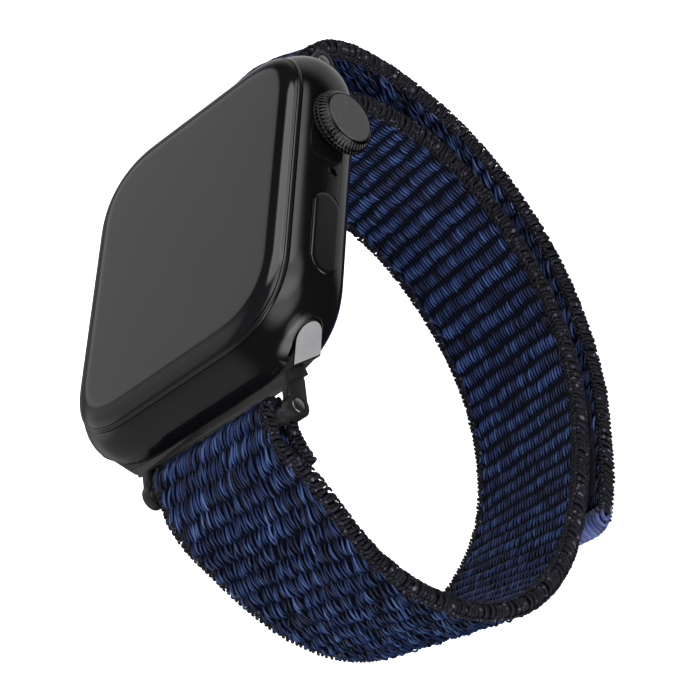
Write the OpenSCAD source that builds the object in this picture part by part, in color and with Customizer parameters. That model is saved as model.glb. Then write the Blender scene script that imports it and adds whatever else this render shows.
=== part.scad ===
// Wrist-worn fitness tracker: a rounded aluminium case with a display, a crown and a side button,
// on a woven hook-and-loop strap whose two metal connectors slide into slots in the case ends.
// The origin is the centre of the rear crystal's flat face. +Z points out of the display,
// +X towards the crown and +Y towards the upper (12 o'clock) end.

/* [Case] */
// Width of the case, along X
case_w = 38; // [37:0.5:39]
// Height of the case, along Y
case_h = 44; // [43:0.5:45]
// Corner radius of the case seen from the front
case_corner = 11; // [10:0.5:12]
// Depth of the case below its widest section
case_drop = 4.9; // [4.7:0.1:5.1]
// Height of the display seam above the widest section
case_rise = 3.5; // [3.3:0.05:3.6]
// Height of the display glass above its seam
glass_rise = 1.4; // [1.2:0.05:1.5]
// How far the rear crystal stands out below the case
crystal_drop = 1.1; // [0.9:0.1:1.4]

/* [Crown and button] */
// Distance of the crown above the middle of the case
crown_y = 7; // [6:0.5:8]
// Outer radius of the crown
crown_r = 3.8; // [3.4:0.1:4]
// Number of grooves round the crown
crown_grooves = 48; // [36:2:60]
// Distance of the side button below the middle of the case
button_y = 8; // [7.5:0.5:8.5]
// Length of the side button
button_len = 11; // [10:0.5:12]
// Width of the side button
button_wide = 3.4; // [3:0.1:3.6]

/* [Strap] */
// Width of the woven strap
strap_w = 20.8; // [18:0.2:21.4]
// Thickness of the woven strap
strap_t = 2; // [1.8:0.1:2.1]
// Length of each connector, along X
connector_len = 33.6; // [33:0.2:34]

/* [Hidden] */
$fn = 48;

fit_gap = 0.05;
mid_z = crystal_drop + case_drop;
rim_z = mid_z + case_rise;
back_z = mid_z - case_drop;
glass_z = rim_z + glass_rise;

// The side wall curves in by rim_inset at the display seam and by back_inset at the back.
corner_power = 2.35;
rim_inset = 1.7;
back_inset = 2.9;
glass_curve = 3.1;
bezel_h = 0.55;
bezel_w = 1.3;

// Inside the case
cavity_w = 30.8;
cavity_h = 32;
cavity_r = 5;
floor_t = 1.1;
cover_t = 0.6;
seal_t = 0.12;
ledge_drop = 0.45;
rear_w = 31;
rear_h = 31.6;
rear_r = 8;
rear_lip = 1.3;
crystal_r = 12;
crystal_flat_r = 5;

// Band slots: a round channel that opens through the end wall by a narrower mouth.
slot_y = case_h / 2 - 2.6;
slot_z = mid_z - 1.15;
slot_tilt = 38;
slot_r = 1.65;
mouth_r = 1.35;
bulb_r = 1.56;
neck_r = 1.26;
bulb_reach = 0.7;
neck_reach = 3;

// The bar that the strap folds round, and the arms that hold it
bar_y = case_h / 2 + 2.8;
bar_z = mid_z - 3.6;
bar_r = 0.9;
boss_r = 1.45;
arm_t = 1.1;
arm_out = 11.9;
neck_half = 12.6;

// Release buttons and latch pins
release_y = 17.6;
release_len = 7;
release_wide = 1.8;
release_deep = 1.25;
nib_y = 18.6;
nib_r = 0.45;
release_travel = 0.3;
latch_r = 0.45;
latch_len = 1.1;

// Crown
crown_z = mid_z + 0.2;
crown_gap = 0.4;
crown_x = case_w / 2 + crown_gap;
crown_t = 2.2;
crown_cap_r = 2.9;
shaft_r = 1.1;
bush_r = 2;
shaft_in = 12.4;

button_z = mid_z + 0.3;
button_travel = 0.3;
mic_y = 0.9;
mic_r = 0.55;

// Strap route, seen from +X as [y, z]. The loop runs down the front, round and up to the upper bar;
// the return layer comes over that bar and lies on the outside of the loop.
fold_thin = 0.65;
fold_r = bar_r + 0.1 + fold_thin * strap_t / 2;
lower_leave = 139;
upper_leave = 40;
overlap_route = [[-28.3, -2], [-27.3, -1], [-25.8, 0]];
loop_route = [[-28.7, 1.6], [-30.5, -2], [-32.5, -6], [-34.7, -11.2], [-35.5, -18], [-33.9, -25.8],
    [-29, -33.1], [-20.7, -39.2], [-10, -42.9], [0, -43.5], [9.8, -41.3], [18, -35.9], [24.4, -27.7],
    [27.4, -18.6], [26.6, -9.4], [24.4, -3.2]];
return_route = [[30.4, 0], [33, -7], [33.7, -15], [32.3, -23.5], [28.2, -32], [21.4, -39.6],
    [13.4, -44.6]];
tail_route = [[5, -47.2], [-4, -47.9], [-10, -47.1], [-13.4, -46]];
hinge_at = [8.4, -46.4];
hinge_gap = 0.3;

// The soft loop hangs slightly skewed: below skew_from its two edges part, by these shares of the
// distance from the middle of the strap, in Y and Z, on the lower and on the upper half of the loop.
skew_lower = [-0.15, -0.05];
skew_upper = [-0.1, 0.18];
skew_from = 2;
lower_full = -12;
upper_full = -20;

function rim_curve(h) = h >= 0 ? rim_inset * pow(h / case_rise, 2.2)
    : back_inset * pow(-h / case_drop, 2.4);
function dome_curve(u) = rim_inset + glass_curve * (1 - sqrt(1 - u * u));
function smooth(t) = let (c = min(max(t, 0), 1)) c * c * (3 - 2 * c);
function skew(p) = let (m = smooth((p[0] + 30) / 30), full = lower_full * (1 - m) + upper_full * m)
    (skew_lower * (1 - m) + skew_upper * m) * smooth((skew_from - p[1]) / (skew_from - full));

// The weave is squeezed thinner where it is folded tight round a bar.
function squeeze(p) = fold_thin + (1 - fold_thin) * smooth((norm([abs(p[0]) - bar_y, p[1] - bar_z]) - 2) / 7);

// A smooth curve through the points, with the given number of steps between two of them
function spline(p, steps) = [for (i = [0:len(p) - 2]) for (s = [0:steps - 1 + (i == len(p) - 2 ? 1 : 0)])
    let (a = p[max(i - 1, 0)], b = p[i], c = p[i + 1], d = p[min(i + 2, len(p) - 1)], t = s / steps)
    0.5 * (2 * b + (c - a) * t + (2 * a - 5 * b + 4 * c - d) * t * t + (3 * b - a - 3 * c + d) * t * t * t)];
function arc(y, z, r, from, to, steps) = [for (s = [0:steps]) let (a = from + (to - from) * s / steps)
    [y + r * cos(a), z + r * sin(a)]];
function unit(v) = v / norm(v);
function left_of(p, i) = let (d = unit(p[min(i + 1, len(p) - 1)] - p[max(i - 1, 0)])) [-d[1], d[0]];

lower_fold = arc(-bar_y, bar_z, fold_r, lower_leave - 180, lower_leave, 16);
upper_fold = arc(bar_y, bar_z, fold_r, 180, upper_leave, 14);
ribbon_line = concat(spline(concat(overlap_route, [lower_fold[0]]), 3),
    [for (i = [1:15]) lower_fold[i]],
    spline(concat([lower_fold[16]], loop_route, [upper_fold[0]]), 4),
    [for (i = [1:13]) upper_fold[i]],
    spline(concat([upper_fold[14]], return_route, [hinge_at]), 4));
tail_line = spline(concat([hinge_at], tail_route), 4);

// One ring of a flat band: its four corners at a point of the line, from offset lo to offset hi
function ring(line, i, lo, hi, w) = let (n = squeeze(line[i]) * left_of(line, i), k = skew(line[i]))
    [for (c = [[-1, lo], [1, lo], [1, hi], [-1, hi]]) let (x = c[0] * w / 2)
        [x, line[i][0] + x * k[0] + c[1] * n[0], line[i][1] + x * k[1] + c[1] * n[1]]];

// A flat band along a line in the YZ plane, closed at both ends
module band(line, lo, hi, w) {
    last = len(line) - 1;
    rings = [for (i = [0:last]) each ring(line, i, lo, hi, w)];
    sides = [for (i = [0:last - 1]) for (c = [0:3]) let (a = 4 * i + c, b = 4 * i + (c + 1) % 4)
        each [[a, b, b + 4], [a, b + 4, a + 4]]];
    ends = [[0, 2, 1], [0, 3, 2], [4 * last, 4 * last + 1, 4 * last + 2],
        [4 * last, 4 * last + 2, 4 * last + 3]];
    polyhedron(rings, concat(sides, ends), convexity = 10);
}

module rounded(w, h, r) {
    square([w - 2 * r, h], center = true);
    square([w, h - 2 * r], center = true);
    for (x = [-1, 1], y = [-1, 1]) translate([x * (w / 2 - r), y * (h / 2 - r)]) circle(r);
}

// The case's outline drawn in by inset: straight sides with corners a little squarer than round
function outline(inset, steps = 10) = let (r = case_corner - inset, w = case_w / 2 - case_corner,
    h = case_h / 2 - case_corner) [for (q = [0:3]) for (i = [0:steps]) let (a = 90 * i / steps,
        c = pow(cos(a), 2 / corner_power) * r, d = pow(sin(a), 2 / corner_power) * r)
        q == 0 ? [w + c, h + d] : q == 1 ? [-w - d, h + c] : q == 2 ? [-w - c, -h - d] : [w + d, -h - c]];

// A plate with that outline
module plan(inset, z, t) {
    translate([0, 0, z]) linear_extrude(t) polygon(outline(inset));
}

module block(w, h, r, z0, z1) {
    translate([0, 0, z0]) linear_extrude(z1 - z0) rounded(w, h, r);
}

module round_x(x0, x1, r, y, z) {
    translate([x0, y, z]) rotate([0, 90, 0]) cylinder(h = x1 - x0, r = r);
}

// A straight rounded slot seen along X: lies in the YZ plane, from x0 to x1
module pill_x(x0, x1, length, wide, y, z) {
    straight = length - wide;
    translate([x0, y - straight / 2, z - wide / 2]) cube([x1 - x0, straight, wide]);
    for (s = [-1, 1]) round_x(x0, x1, wide / 2, y + s * straight / 2, z);
}

// The same seen along Z, from z0 to z1
module pill_z(z0, z1, length, wide, y) {
    straight = length - wide;
    translate([-straight / 2, y - wide / 2, z0]) cube([straight, wide, z1 - z0]);
    for (s = [-1, 1]) translate([s * straight / 2, y, z0]) cylinder(h = z1 - z0, r = wide / 2);
}

// A channel or rib along X of radius r, from the slot's centre outwards by reach
module slot_rib(r, start, reach, half_len) {
    translate([-half_len, -slot_y, slot_z]) rotate([slot_tilt, 0, 0]) {
        translate([0, -reach, -r]) cube([2 * half_len, reach - start, 2 * r]);
    }
}

module slot_cut() {
    long = case_w;
    round_x(-long, long, slot_r, -slot_y, slot_z);
    slot_rib(slot_r, 0, bulb_reach + 0.2, long);
    slot_rib(mouth_r, 0, 8, long);
}

module at_both_ends() {
    children();
    mirror([0, 1, 0]) children();
}

// ---- Case ----

module case_shell() {
    levels = 7;
    hull() {
        for (i = [0:levels]) let (h = case_rise * i / levels) plan(rim_curve(h), mid_z + h - 0.01, 0.01);
        for (i = [1:levels]) let (h = -case_drop * i / levels) plan(rim_curve(h), mid_z + h, 0.01);
    }
}

module case_body() {
    side = case_w / 2;
    color([0.1, 0.1, 0.11]) difference() {
        case_shell();
        block(cavity_w, cavity_h, cavity_r, back_z + floor_t, rim_z + 1);
        block(case_w - 2 * 2.9, case_h - 2 * 2.9, case_corner - 2.9, rim_z - ledge_drop, rim_z + 1);
        block(rear_w, rear_h, rear_r, back_z - 1, back_z + cover_t + seal_t);
        block(rear_w - 2 * rear_lip, rear_h - 2 * rear_lip, rear_r - rear_lip, back_z - 1, rim_z);
        at_both_ends() slot_cut();
        at_both_ends() release_hole();
        round_x(side - 6, side + 1, bush_r, crown_y, crown_z);
        round_x(side - 6, side + 1, mic_r, mic_y, mid_z - 0.1);
        side_button_pocket();
        for (s = [-1, 1]) pill_x(-side - 1, -side + 6, 7.5, 1.2, s * 4.6 - 3, mid_z);
    }
}

module release_hole() {
    pill_z(back_z - 1, back_z + release_deep, release_len + 0.1, release_wide + 0.1, -release_y);
    translate([0, -nib_y, back_z + 0.8]) cylinder(h = 2.5, r = nib_r + fit_gap);
}

module side_button_pocket() {
    side = case_w / 2;
    pill_x(side - 1.7, side + 1, button_len + 0.12, button_wide + 0.12, -button_y, button_z);
    round_x(side - 6, side, 0.85, -button_y, button_z);
}

module display_glass() {
    steps = 8;
    foot = bezel_h / glass_rise;
    color([0.16, 0.16, 0.17]) hull() for (i = [0:steps])
        let (u = foot + (1 - foot) * sin(90 * i / steps)) plan(dome_curve(u), rim_z + glass_rise * u - 0.01, 0.01);
}

module bezel_ring() {
    color([0.05, 0.05, 0.06]) difference() {
        hull() for (u = [0.01, 0.2, 0.37]) plan(dome_curve(u), rim_z + glass_rise * u, 0.005);
        block(case_w - 2 * (rim_inset + bezel_w), case_h - 2 * (rim_inset + bezel_w),
            case_corner - rim_inset - bezel_w, rim_z - 1, rim_z + 1);
    }
}

module display_panel() {
    color([0.02, 0.02, 0.03]) block(case_w - 6.4, case_h - 6.4, 8, rim_z - 0.35, rim_z + bezel_h - 0.02);
}

module display_seal() {
    color([0.02, 0.02, 0.02]) difference() {
        block(case_w - 5.9, case_h - 5.9, case_corner - 2.95, rim_z - ledge_drop + 0.01, rim_z - 0.01);
        block(case_w - 6.35, case_h - 6.35, 7.8, rim_z - 1, rim_z + 1);
    }
}

module rear_cover() {
    color([0.08, 0.08, 0.09]) difference() {
        block(rear_w - 0.1, rear_h - 0.1, rear_r - 0.05, back_z, back_z + cover_t);
        translate([0, 0, back_z - 1]) cylinder(h = 3, r = crystal_r + fit_gap, $fn = 96);
    }
}

module rear_seal() {
    color([0.02, 0.02, 0.02]) difference() {
        block(rear_w - 0.6, rear_h - 0.6, rear_r - 0.3, back_z + cover_t + 0.01, back_z + cover_t + seal_t - 0.01);
        block(rear_w - 2 * rear_lip, rear_h - 2 * rear_lip, rear_r - rear_lip, back_z, back_z + 2);
    }
}

// A shallow dome with a flat middle, turned about Z
module sensor_crystal() {
    rise = crystal_drop;
    color([0.03, 0.03, 0.035]) rotate_extrude($fn = 96) polygon(concat([[0, 0], [crystal_flat_r, 0]],
        [for (a = [10:10:90]) [crystal_flat_r + (crystal_r - crystal_flat_r) * sin(a), rise * (1 - cos(a))]],
        [[crystal_r, back_z + cover_t], [0, back_z + cover_t]]));
}

// ---- Inside the case ----

module sensor_board() {
    color([0.05, 0.25, 0.1]) translate([0, 0, back_z + 0.9]) difference() {
        cylinder(h = 0.5, r = 8.4);
        for (a = [0:90:270]) rotate(a) translate([4.6, 0, -1]) cylinder(h = 3, r = 1);
    }
}

module charging_coil() {
    color([0.72, 0.4, 0.2]) translate([0, 0, back_z + 0.9]) difference() {
        cylinder(h = 0.55, r = 11.6);
        translate([0, 0, -1]) cylinder(h = 3, r = 8.8);
    }
}

module battery() {
    color([0.3, 0.3, 0.32]) translate([0, -1.4, 0]) block(19, 22, 2, mid_z - 3.2, mid_z + 1.2);
}

// The board is notched to clear the crown's shaft.
module main_board() {
    color([0.04, 0.2, 0.1]) difference() {
        block(25.6, 30.6, 3, mid_z + 1.4, mid_z + 2);
        translate([10, crown_y - 2.8, mid_z]) cube([10, 5.6, 5]);
        for (y = [-1, 1]) translate([0, y * 13.6, 0]) cylinder(h = 20, r = 0.8);
    }
}

module shield_can() {
    color([0.7, 0.7, 0.72]) block(19, 22, 1.5, mid_z + 2.02, mid_z + 2.9);
}

module haptic_motor() {
    color([0.6, 0.6, 0.62]) translate([-1, 13.2, mid_z - 1]) cube([18, 5, 4], center = true);
}

module speaker() {
    color([0.15, 0.15, 0.16]) translate([-14.6, -11.2, mid_z - 2.6]) cube([4.4, 16.4, 3.6]);
}

module speaker_mesh() {
    x = -cavity_w / 2 + 0.05;
    color([0.05, 0.05, 0.05]) pill_x(x, x + 0.6, 17.4, 2.4, -3, mid_z);
}

module microphone() {
    x = cavity_w / 2 - 2.2;
    color([0.5, 0.5, 0.5]) translate([x, mic_y - 1.3, mid_z - 1.4]) cube([2.1, 2.6, 2.6]);
}

// ---- Crown ----

module crown_bush() {
    color([0.55, 0.5, 0.35]) difference() {
        round_x(case_w / 2 - 5.2, case_w / 2 - 0.15, bush_r - 0.02, crown_y, crown_z);
        round_x(0, case_w, shaft_r + fit_gap, crown_y, crown_z);
        round_x(case_w / 2 - 1.9, case_w, shaft_r + 0.55, crown_y, crown_z);
    }
}

module crown_seal() {
    color([0.05, 0.05, 0.05]) translate([case_w / 2 - 1.1, crown_y, crown_z]) rotate([0, 90, 0])
        rotate_extrude() translate([shaft_r + 0.27, 0]) circle(0.24, $fn = 24);
}

module crown_shaft() {
    color([0.75, 0.75, 0.77]) {
        round_x(shaft_in, crown_x + 0.9, shaft_r, crown_y, crown_z);
    }
}

module crown_knob() {
    h = crown_t;
    color([0.07, 0.07, 0.075]) translate([crown_x, crown_y, crown_z]) rotate([0, 90, 0]) difference() {
        rotate_extrude($fn = 96) polygon([[shaft_r, 0], [crown_r - 0.5, 0], [crown_r - 0.1, 0.35],
            [crown_r, 0.55], [crown_r, h - 0.8], [crown_r - 0.25, h - 0.35], [crown_r - 0.6, h - 0.1],
            [crown_cap_r + 0.02, h], [crown_cap_r + 0.02, h - 0.4], [shaft_r + 0.4, h - 0.4], [shaft_r + 0.4, 0.9], [shaft_r, 0.9]]);
        for (i = [0:crown_grooves - 1]) rotate(360 * i / crown_grooves) translate([crown_r + 0.02, 0, 0.5])
            rotate(45) cube([0.22, 0.22, h - 1.2]);
    }
}

module crown_cap() {
    color([0.13, 0.13, 0.135]) translate([crown_x + crown_t - 0.39, crown_y, crown_z]) rotate([0, 90, 0])
        rotate_extrude($fn = 96) polygon([[0, 0], [crown_cap_r, 0], [crown_cap_r, 0.3], [crown_cap_r - 0.1, 0.4], [0, 0.4]]);
}

module crown_encoder() {
    color([0.8, 0.8, 0.82]) translate([shaft_in + 0.3, crown_y, crown_z]) rotate([0, 90, 0]) difference() {
        cylinder(h = 0.5, r = 2.3);
        translate([0, 0, -1]) cylinder(h = 3, r = shaft_r);
        for (i = [0:11]) rotate(30 * i) translate([1.9, 0, -1]) cylinder(h = 3, r = 0.16);
    }
}

// The cup that the shaft turns in, which presses the switch when the crown is pushed
module crown_plunger() {
    color([0.4, 0.4, 0.42]) difference() {
        round_x(shaft_in - 0.9, shaft_in + 0.25, 1.8, crown_y, crown_z);
        round_x(shaft_in - 0.05, shaft_in + 1, shaft_r + fit_gap, crown_y, crown_z);
    }
}

module crown_switch() {
    x = shaft_in - 0.9 - 0.32;
    color([0.65, 0.65, 0.6]) {
        round_x(x - 0.3, x, 0.8, crown_y, crown_z);
        translate([x - 0.9, crown_y - 1.4, crown_z - 1.4]) cube([0.6, 2.8, 2.5]);
    }
}

// ---- Side button ----

module side_button() {
    side = case_w / 2;
    color([0.09, 0.09, 0.1]) {
        pill_x(side - 1.15, side + 0.02, button_len, button_wide, -button_y, button_z);
        round_x(side - 4.4, side - 1, 0.8, -button_y, button_z);
    }
}

module side_button_seal() {
    x = case_w / 2 - 1.65;
    color([0.03, 0.03, 0.03]) difference() {
        pill_x(x, x + 0.18, button_len - 0.8, button_wide - 0.8, -button_y, button_z);
        round_x(0, case_w, 0.9, -button_y, button_z);
    }
}

module side_switch() {
    x = case_w / 2 - 4.4 - button_travel - 0.02;
    color([0.65, 0.65, 0.6]) {
        round_x(x - 0.3, x, 0.9, -button_y, button_z);
        translate([x - 1, -button_y - 1.8, button_z - 1.4]) cube([0.7, 3.6, 2.4]);
    }
}

// ---- Band release ----

module release_button() {
    color([0.12, 0.12, 0.13]) {
        pill_z(back_z + 0.02, back_z + 0.87, release_len, release_wide, -release_y);
        translate([0, -nib_y, back_z + 0.82]) cylinder(h = release_top - back_z - 0.82, r = nib_r);
    }
}

// The lowest line of the connector in its slot, and how high the release button's nib stands at rest
face_z = slot_z - bulb_r;
release_top = face_z - release_travel - 0.04;

module latch_bore() {
    translate([0, -nib_y, slot_z - 2]) cylinder(h = 2.75, r = latch_r + fit_gap);
}

module latch_pin() {
    color([0.75, 0.75, 0.77]) translate([0, -nib_y, slot_z - 0.95]) cylinder(h = latch_len, r = latch_r);
}

// ---- Connectors ----

// Its ends follow the case's corners where it lies in the slot.
module connector() {
    half = connector_len / 2;
    color([0.35, 0.35, 0.36]) difference() {
        union() {
            intersection() {
                union() {
                    round_x(-half, half, bulb_r, -slot_y, slot_z);
                    slot_rib(bulb_r - 0.02, 0, bulb_reach, half);
                    slot_rib(neck_r - 0.04, 0, 2, half);
                }
                plan(0.4, 0, mid_z * 2);
            }
            slot_rib(neck_r, 0, neck_reach, neck_half);
            for (s = [-1, 1]) translate([s * (arm_out - arm_t / 2), 0, 0]) connector_arm();
        }
        latch_bore();
        round_x(-case_w, case_w, bar_r + 0.01, -bar_y, bar_z);
    }
}

// One arm of the connector: it leaves the slot's mouth and swells into a boss round the bar
module connector_arm() {
    exit = [-slot_y - neck_reach * cos(slot_tilt), slot_z - neck_reach * sin(slot_tilt)];
    rotate([90, 0, 90]) translate([0, 0, -arm_t / 2]) linear_extrude(arm_t) {
        bone(exit, [-bar_y + 0.3, bar_z], neck_r - 0.03);
        translate([-bar_y, bar_z]) circle(boss_r);
    }
}

// A straight bar with round ends between two points of a plane
module bone(a, b, r) {
    d = b - a;
    for (p = [a, b]) translate(p) circle(r);
    translate(a) rotate(atan2(d[1], d[0])) translate([0, -r + 0.01]) square([norm(d), 2 * r - 0.02]);
}

module bar_pin() {
    color([0.7, 0.7, 0.72]) round_x(-arm_out + 0.1, arm_out - 0.1, bar_r, -bar_y, bar_z);
}

// ---- Strap ----

module strap_ribbon() {
    color([0.03, 0.06, 0.2]) band(ribbon_line, -strap_t / 2, strap_t / 2, strap_w);
}

// The seam that sews the lower fold down: a row of raised stitches across the inside of the strap
module fold_stitching() {
    at = ribbon_line[2];
    n = left_of(ribbon_line, 2);
    out = squeeze(at) * strap_t / 2 + 0.2;
    color([0.02, 0.02, 0.03]) for (i = [-4:4]) let (x = i * 2.1, k = skew(at))
        translate([x, at[0] + x * k[0] + n[0] * out, at[1] + x * k[1] + n[1] * out])
            rotate([atan2(n[1], n[0]), 0, 0]) cube([1.5, 0.3, 0.4], center = true);
}

tail_cut = 3;
tail_start = [for (i = [0:len(tail_line) - 1]) i == 0 ? tail_line[0] + hinge_gap * unit(tail_line[1] - tail_line[0])
    : tail_line[i]];

module strap_tail() {
    color([0.03, 0.06, 0.2]) band([for (i = [0:len(tail_line) - 2]) tail_start[i]], -strap_t / 2, strap_t / 2, strap_w);
}

module hook_patch() {
    last = len(tail_line) - 1;
    color([0.04, 0.04, 0.05]) band([for (i = [tail_cut:last - 2]) tail_line[i]], -strap_t / 2 - 0.52, -strap_t / 2 - 0.02, strap_w - 2.4);
}

// The blue overlocked end of the tail
module tail_binding() {
    last = len(tail_line) - 1;
    color([0.1, 0.16, 0.42]) band([tail_line[last - 1] + 0.05 * unit(tail_line[last] - tail_line[last - 1]),
        tail_line[last]], -strap_t / 2 - 0.1, strap_t / 2 + 0.1, strap_w - 1.2);
}

case_body();
display_glass();
bezel_ring();
display_panel();
display_seal();
rear_cover();
rear_seal();
sensor_crystal();
sensor_board();
charging_coil();
battery();
main_board();
shield_can();
haptic_motor();
speaker();
speaker_mesh();
microphone();
crown_bush();
crown_seal();
crown_switch();
side_switch();
crown_plunger();
crown_knob();
crown_cap();
crown_shaft();
crown_encoder();
side_button();
side_button_seal();
release_button();  // release_button_lower
mirror([0, 1, 0]) release_button();  // release_button_upper
connector();  // connector_lower
mirror([0, 1, 0]) connector();  // connector_upper
bar_pin();  // bar_pin_lower
mirror([0, 1, 0]) bar_pin();  // bar_pin_upper
latch_pin();  // latch_pin_lower
mirror([0, 1, 0]) latch_pin();  // latch_pin_upper
strap_ribbon();
fold_stitching();
strap_tail();
hook_patch();
tail_binding();
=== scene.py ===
"""Looks for a wrist-worn fitness tracker: a gloss black case on a woven hook-and-loop strap.

Sizes here are in millimetres, in the CAD part's frame, and become metres as a mesh is made.
"""

import math

import bmesh
import bpy
import numpy as np
from mathutils import Matrix, Vector


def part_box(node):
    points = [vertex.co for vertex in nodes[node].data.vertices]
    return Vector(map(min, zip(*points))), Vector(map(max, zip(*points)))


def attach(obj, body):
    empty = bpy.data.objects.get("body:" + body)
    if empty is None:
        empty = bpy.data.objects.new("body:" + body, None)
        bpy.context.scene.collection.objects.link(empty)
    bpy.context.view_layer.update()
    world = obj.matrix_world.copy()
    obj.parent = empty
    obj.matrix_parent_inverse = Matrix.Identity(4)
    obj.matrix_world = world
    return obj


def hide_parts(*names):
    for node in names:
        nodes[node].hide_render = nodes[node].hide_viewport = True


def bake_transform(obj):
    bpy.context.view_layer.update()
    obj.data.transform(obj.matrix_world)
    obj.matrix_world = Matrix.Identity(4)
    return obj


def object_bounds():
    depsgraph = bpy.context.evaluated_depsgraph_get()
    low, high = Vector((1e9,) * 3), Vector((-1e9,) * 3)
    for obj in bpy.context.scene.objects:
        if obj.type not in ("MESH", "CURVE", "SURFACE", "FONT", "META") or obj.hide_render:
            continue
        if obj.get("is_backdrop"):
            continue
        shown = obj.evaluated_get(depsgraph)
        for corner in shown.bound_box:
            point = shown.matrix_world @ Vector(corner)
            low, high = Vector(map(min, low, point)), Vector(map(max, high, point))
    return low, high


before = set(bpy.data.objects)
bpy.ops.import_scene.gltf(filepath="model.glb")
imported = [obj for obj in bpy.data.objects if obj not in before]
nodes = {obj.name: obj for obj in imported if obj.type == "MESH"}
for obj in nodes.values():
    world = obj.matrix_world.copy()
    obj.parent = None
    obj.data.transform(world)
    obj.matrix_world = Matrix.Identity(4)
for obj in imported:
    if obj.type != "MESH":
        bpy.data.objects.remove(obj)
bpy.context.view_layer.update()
draw = np.random.default_rng(11)

MM = 0.001

# ---- Sizes of the CAD part that the pieces follow ----

CASE_W, CASE_H, CASE_CORNER, CORNER_POWER = 38.0, 44.0, 11.0, 2.35
CASE_DROP, CASE_RISE, GLASS_RISE = 4.9, 3.5, 1.4
RIM_INSET, BACK_INSET, GLASS_CURVE = 1.7, 2.9, 3.1
MID_Z = 6.0
RIM_Z = MID_Z + CASE_RISE
BACK_Z = MID_Z - CASE_DROP
SIDE = CASE_W / 2
COVER_T = 0.6
CRYSTAL_R, CRYSTAL_FLAT_R, CRYSTAL_DROP = 12.0, 5.0, 1.1
SLOT_Y, SLOT_Z, SLOT_TILT = 19.4, 4.85, math.radians(38)
SLOT_R, MOUTH_R, SLOT_WIDE = 1.65, 1.35, 0.9
PLUG_GAP, CHANNEL_STEPS = 0.33, 25
CROWN_Y, CROWN_Z, CROWN_X, CROWN_T, CAP_R = 7.0, 6.2, 19.4, 2.2, 2.9
CROWN_TEETH = 48
BUTTON_Y, BUTTON_Z, BUTTON_LEN, BUTTON_WIDE = -8.0, 6.3, 11.0, 3.4
MIC_Y, MIC_Z, MIC_R = 0.9, 5.9, 0.55
RELEASE_Y, NIB_Y = 17.6, 18.6
BAR_Y, BAR_Z = 24.8, 2.4
STRAP_W = 20.8
FOLD_THIN, FOLD_R = 0.65, 1.65
LOWER_LEAVE, UPPER_LEAVE = 139, 40
OVERLAP_ROUTE = [[-28.3, -2], [-27.3, -1], [-25.8, 0]]
LOOP_ROUTE = [[-28.7, 1.6], [-30.5, -2], [-32.5, -6], [-34.7, -11.2], [-35.5, -18], [-33.9, -25.8],
              [-29, -33.1], [-20.7, -39.2], [-10, -42.9], [0, -43.5], [9.8, -41.3], [18, -35.9],
              [24.4, -27.7], [27.4, -18.6], [26.6, -9.4], [24.4, -3.2]]
RETURN_ROUTE = [[30.4, 0], [33, -7], [33.7, -15], [32.3, -23.5], [28.2, -32], [21.4, -39.6], [13.4, -44.6]]
HINGE_AT = [8.4, -46.4]
TAIL_ROUTE = [[5, -47.2], [-4, -47.9], [-10, -47.1], [-13.4, -46]]
SKEW_LOWER, SKEW_UPPER = np.array([-0.15, -0.05]), np.array([-0.1, 0.18])
SKEW_FROM, LOWER_FULL, UPPER_FULL = 2.0, -12.0, -20.0
BEND_REACH = 3.0

# ---- Sizes of the looks only ----

BAR_PINCH, PINCH_FROM, PINCH_REACH = 0.09, 2.4, 5.0
LOOSE_FOLD, LOOSE_REACH, LOOSE_MIDDLE, LOOSE_HALF = 2.3, 9.0, 1.0, 9.5
LOOSE_OUT, LOOSE_UP = 0.85, 0.5
ROW_PITCH = 2.2
PILE_PITCH, PILE_R = 0.4, 0.145
RIB_PITCH, RIB_R = 0.5, 0.155
PILE_HALF, RIB_HALF = 9.3, 9.15
KNOT_PITCH = 1.15
WHIP_DEEP, WHIP_CORNER = 1.9, 2.6

# ---- The camera: millimetres, and degrees round, up and rolled ----

CAMERA_LENS, CAMERA_AWAY, CAMERA_AIM = 145.0, 312.1, (5.0, -6.5, -9.9)
CAMERA_ROUND, CAMERA_UP, CAMERA_ROLL = 43.38, 30.36, -58.36


# ---- Mesh helpers ----

def show(name, data):
    """A new object of this data, in the scene."""
    thing = bpy.data.objects.new(name, data)
    bpy.context.scene.collection.objects.link(thing)
    return thing


def add_mesh(name, points, faces, material, smooth_angle=40):
    """A mesh object from points in millimetres, with edges sharper than smooth_angle left hard."""
    mesh = bpy.data.meshes.new(name)
    mesh.from_pydata((np.asarray(points, float) * MM).tolist(), [], [list(f) for f in faces])
    mesh.validate()
    mesh.shade_smooth()
    mesh.set_sharp_from_angle(angle=math.radians(smooth_angle))
    if material is not None:
        mesh.materials.append(material)
    return show(name, mesh)


def loft(rings, wrap=False):
    """Points and faces of the skin through rings of equal length. The ends are capped unless it wraps."""
    count, n = len(rings), len(rings[0])
    points = [p for r in rings for p in r]
    faces = []
    for i in range(count if wrap else count - 1):
        a, b = i * n, (i + 1) % count * n
        faces += [(a + j, a + (j + 1) % n, b + (j + 1) % n, b + j) for j in range(n)]
    if not wrap:
        faces += [tuple(range(n - 1, -1, -1)), tuple(range((count - 1) * n, count * n))]
    return points, faces


def recalc(thing):
    """Turns every face of a closed mesh outwards."""
    bm = bmesh.new()
    bm.from_mesh(thing.data)
    bmesh.ops.recalc_face_normals(bm, faces=bm.faces)
    bm.to_mesh(thing.data)
    bm.free()
    return thing


def solid(name, rings, mat, smooth_angle=50, wrap=False):
    """A closed mesh lofted through rings, its faces turned outwards."""
    return recalc(add_mesh(name, *loft(rings, wrap), mat, smooth_angle))


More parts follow.
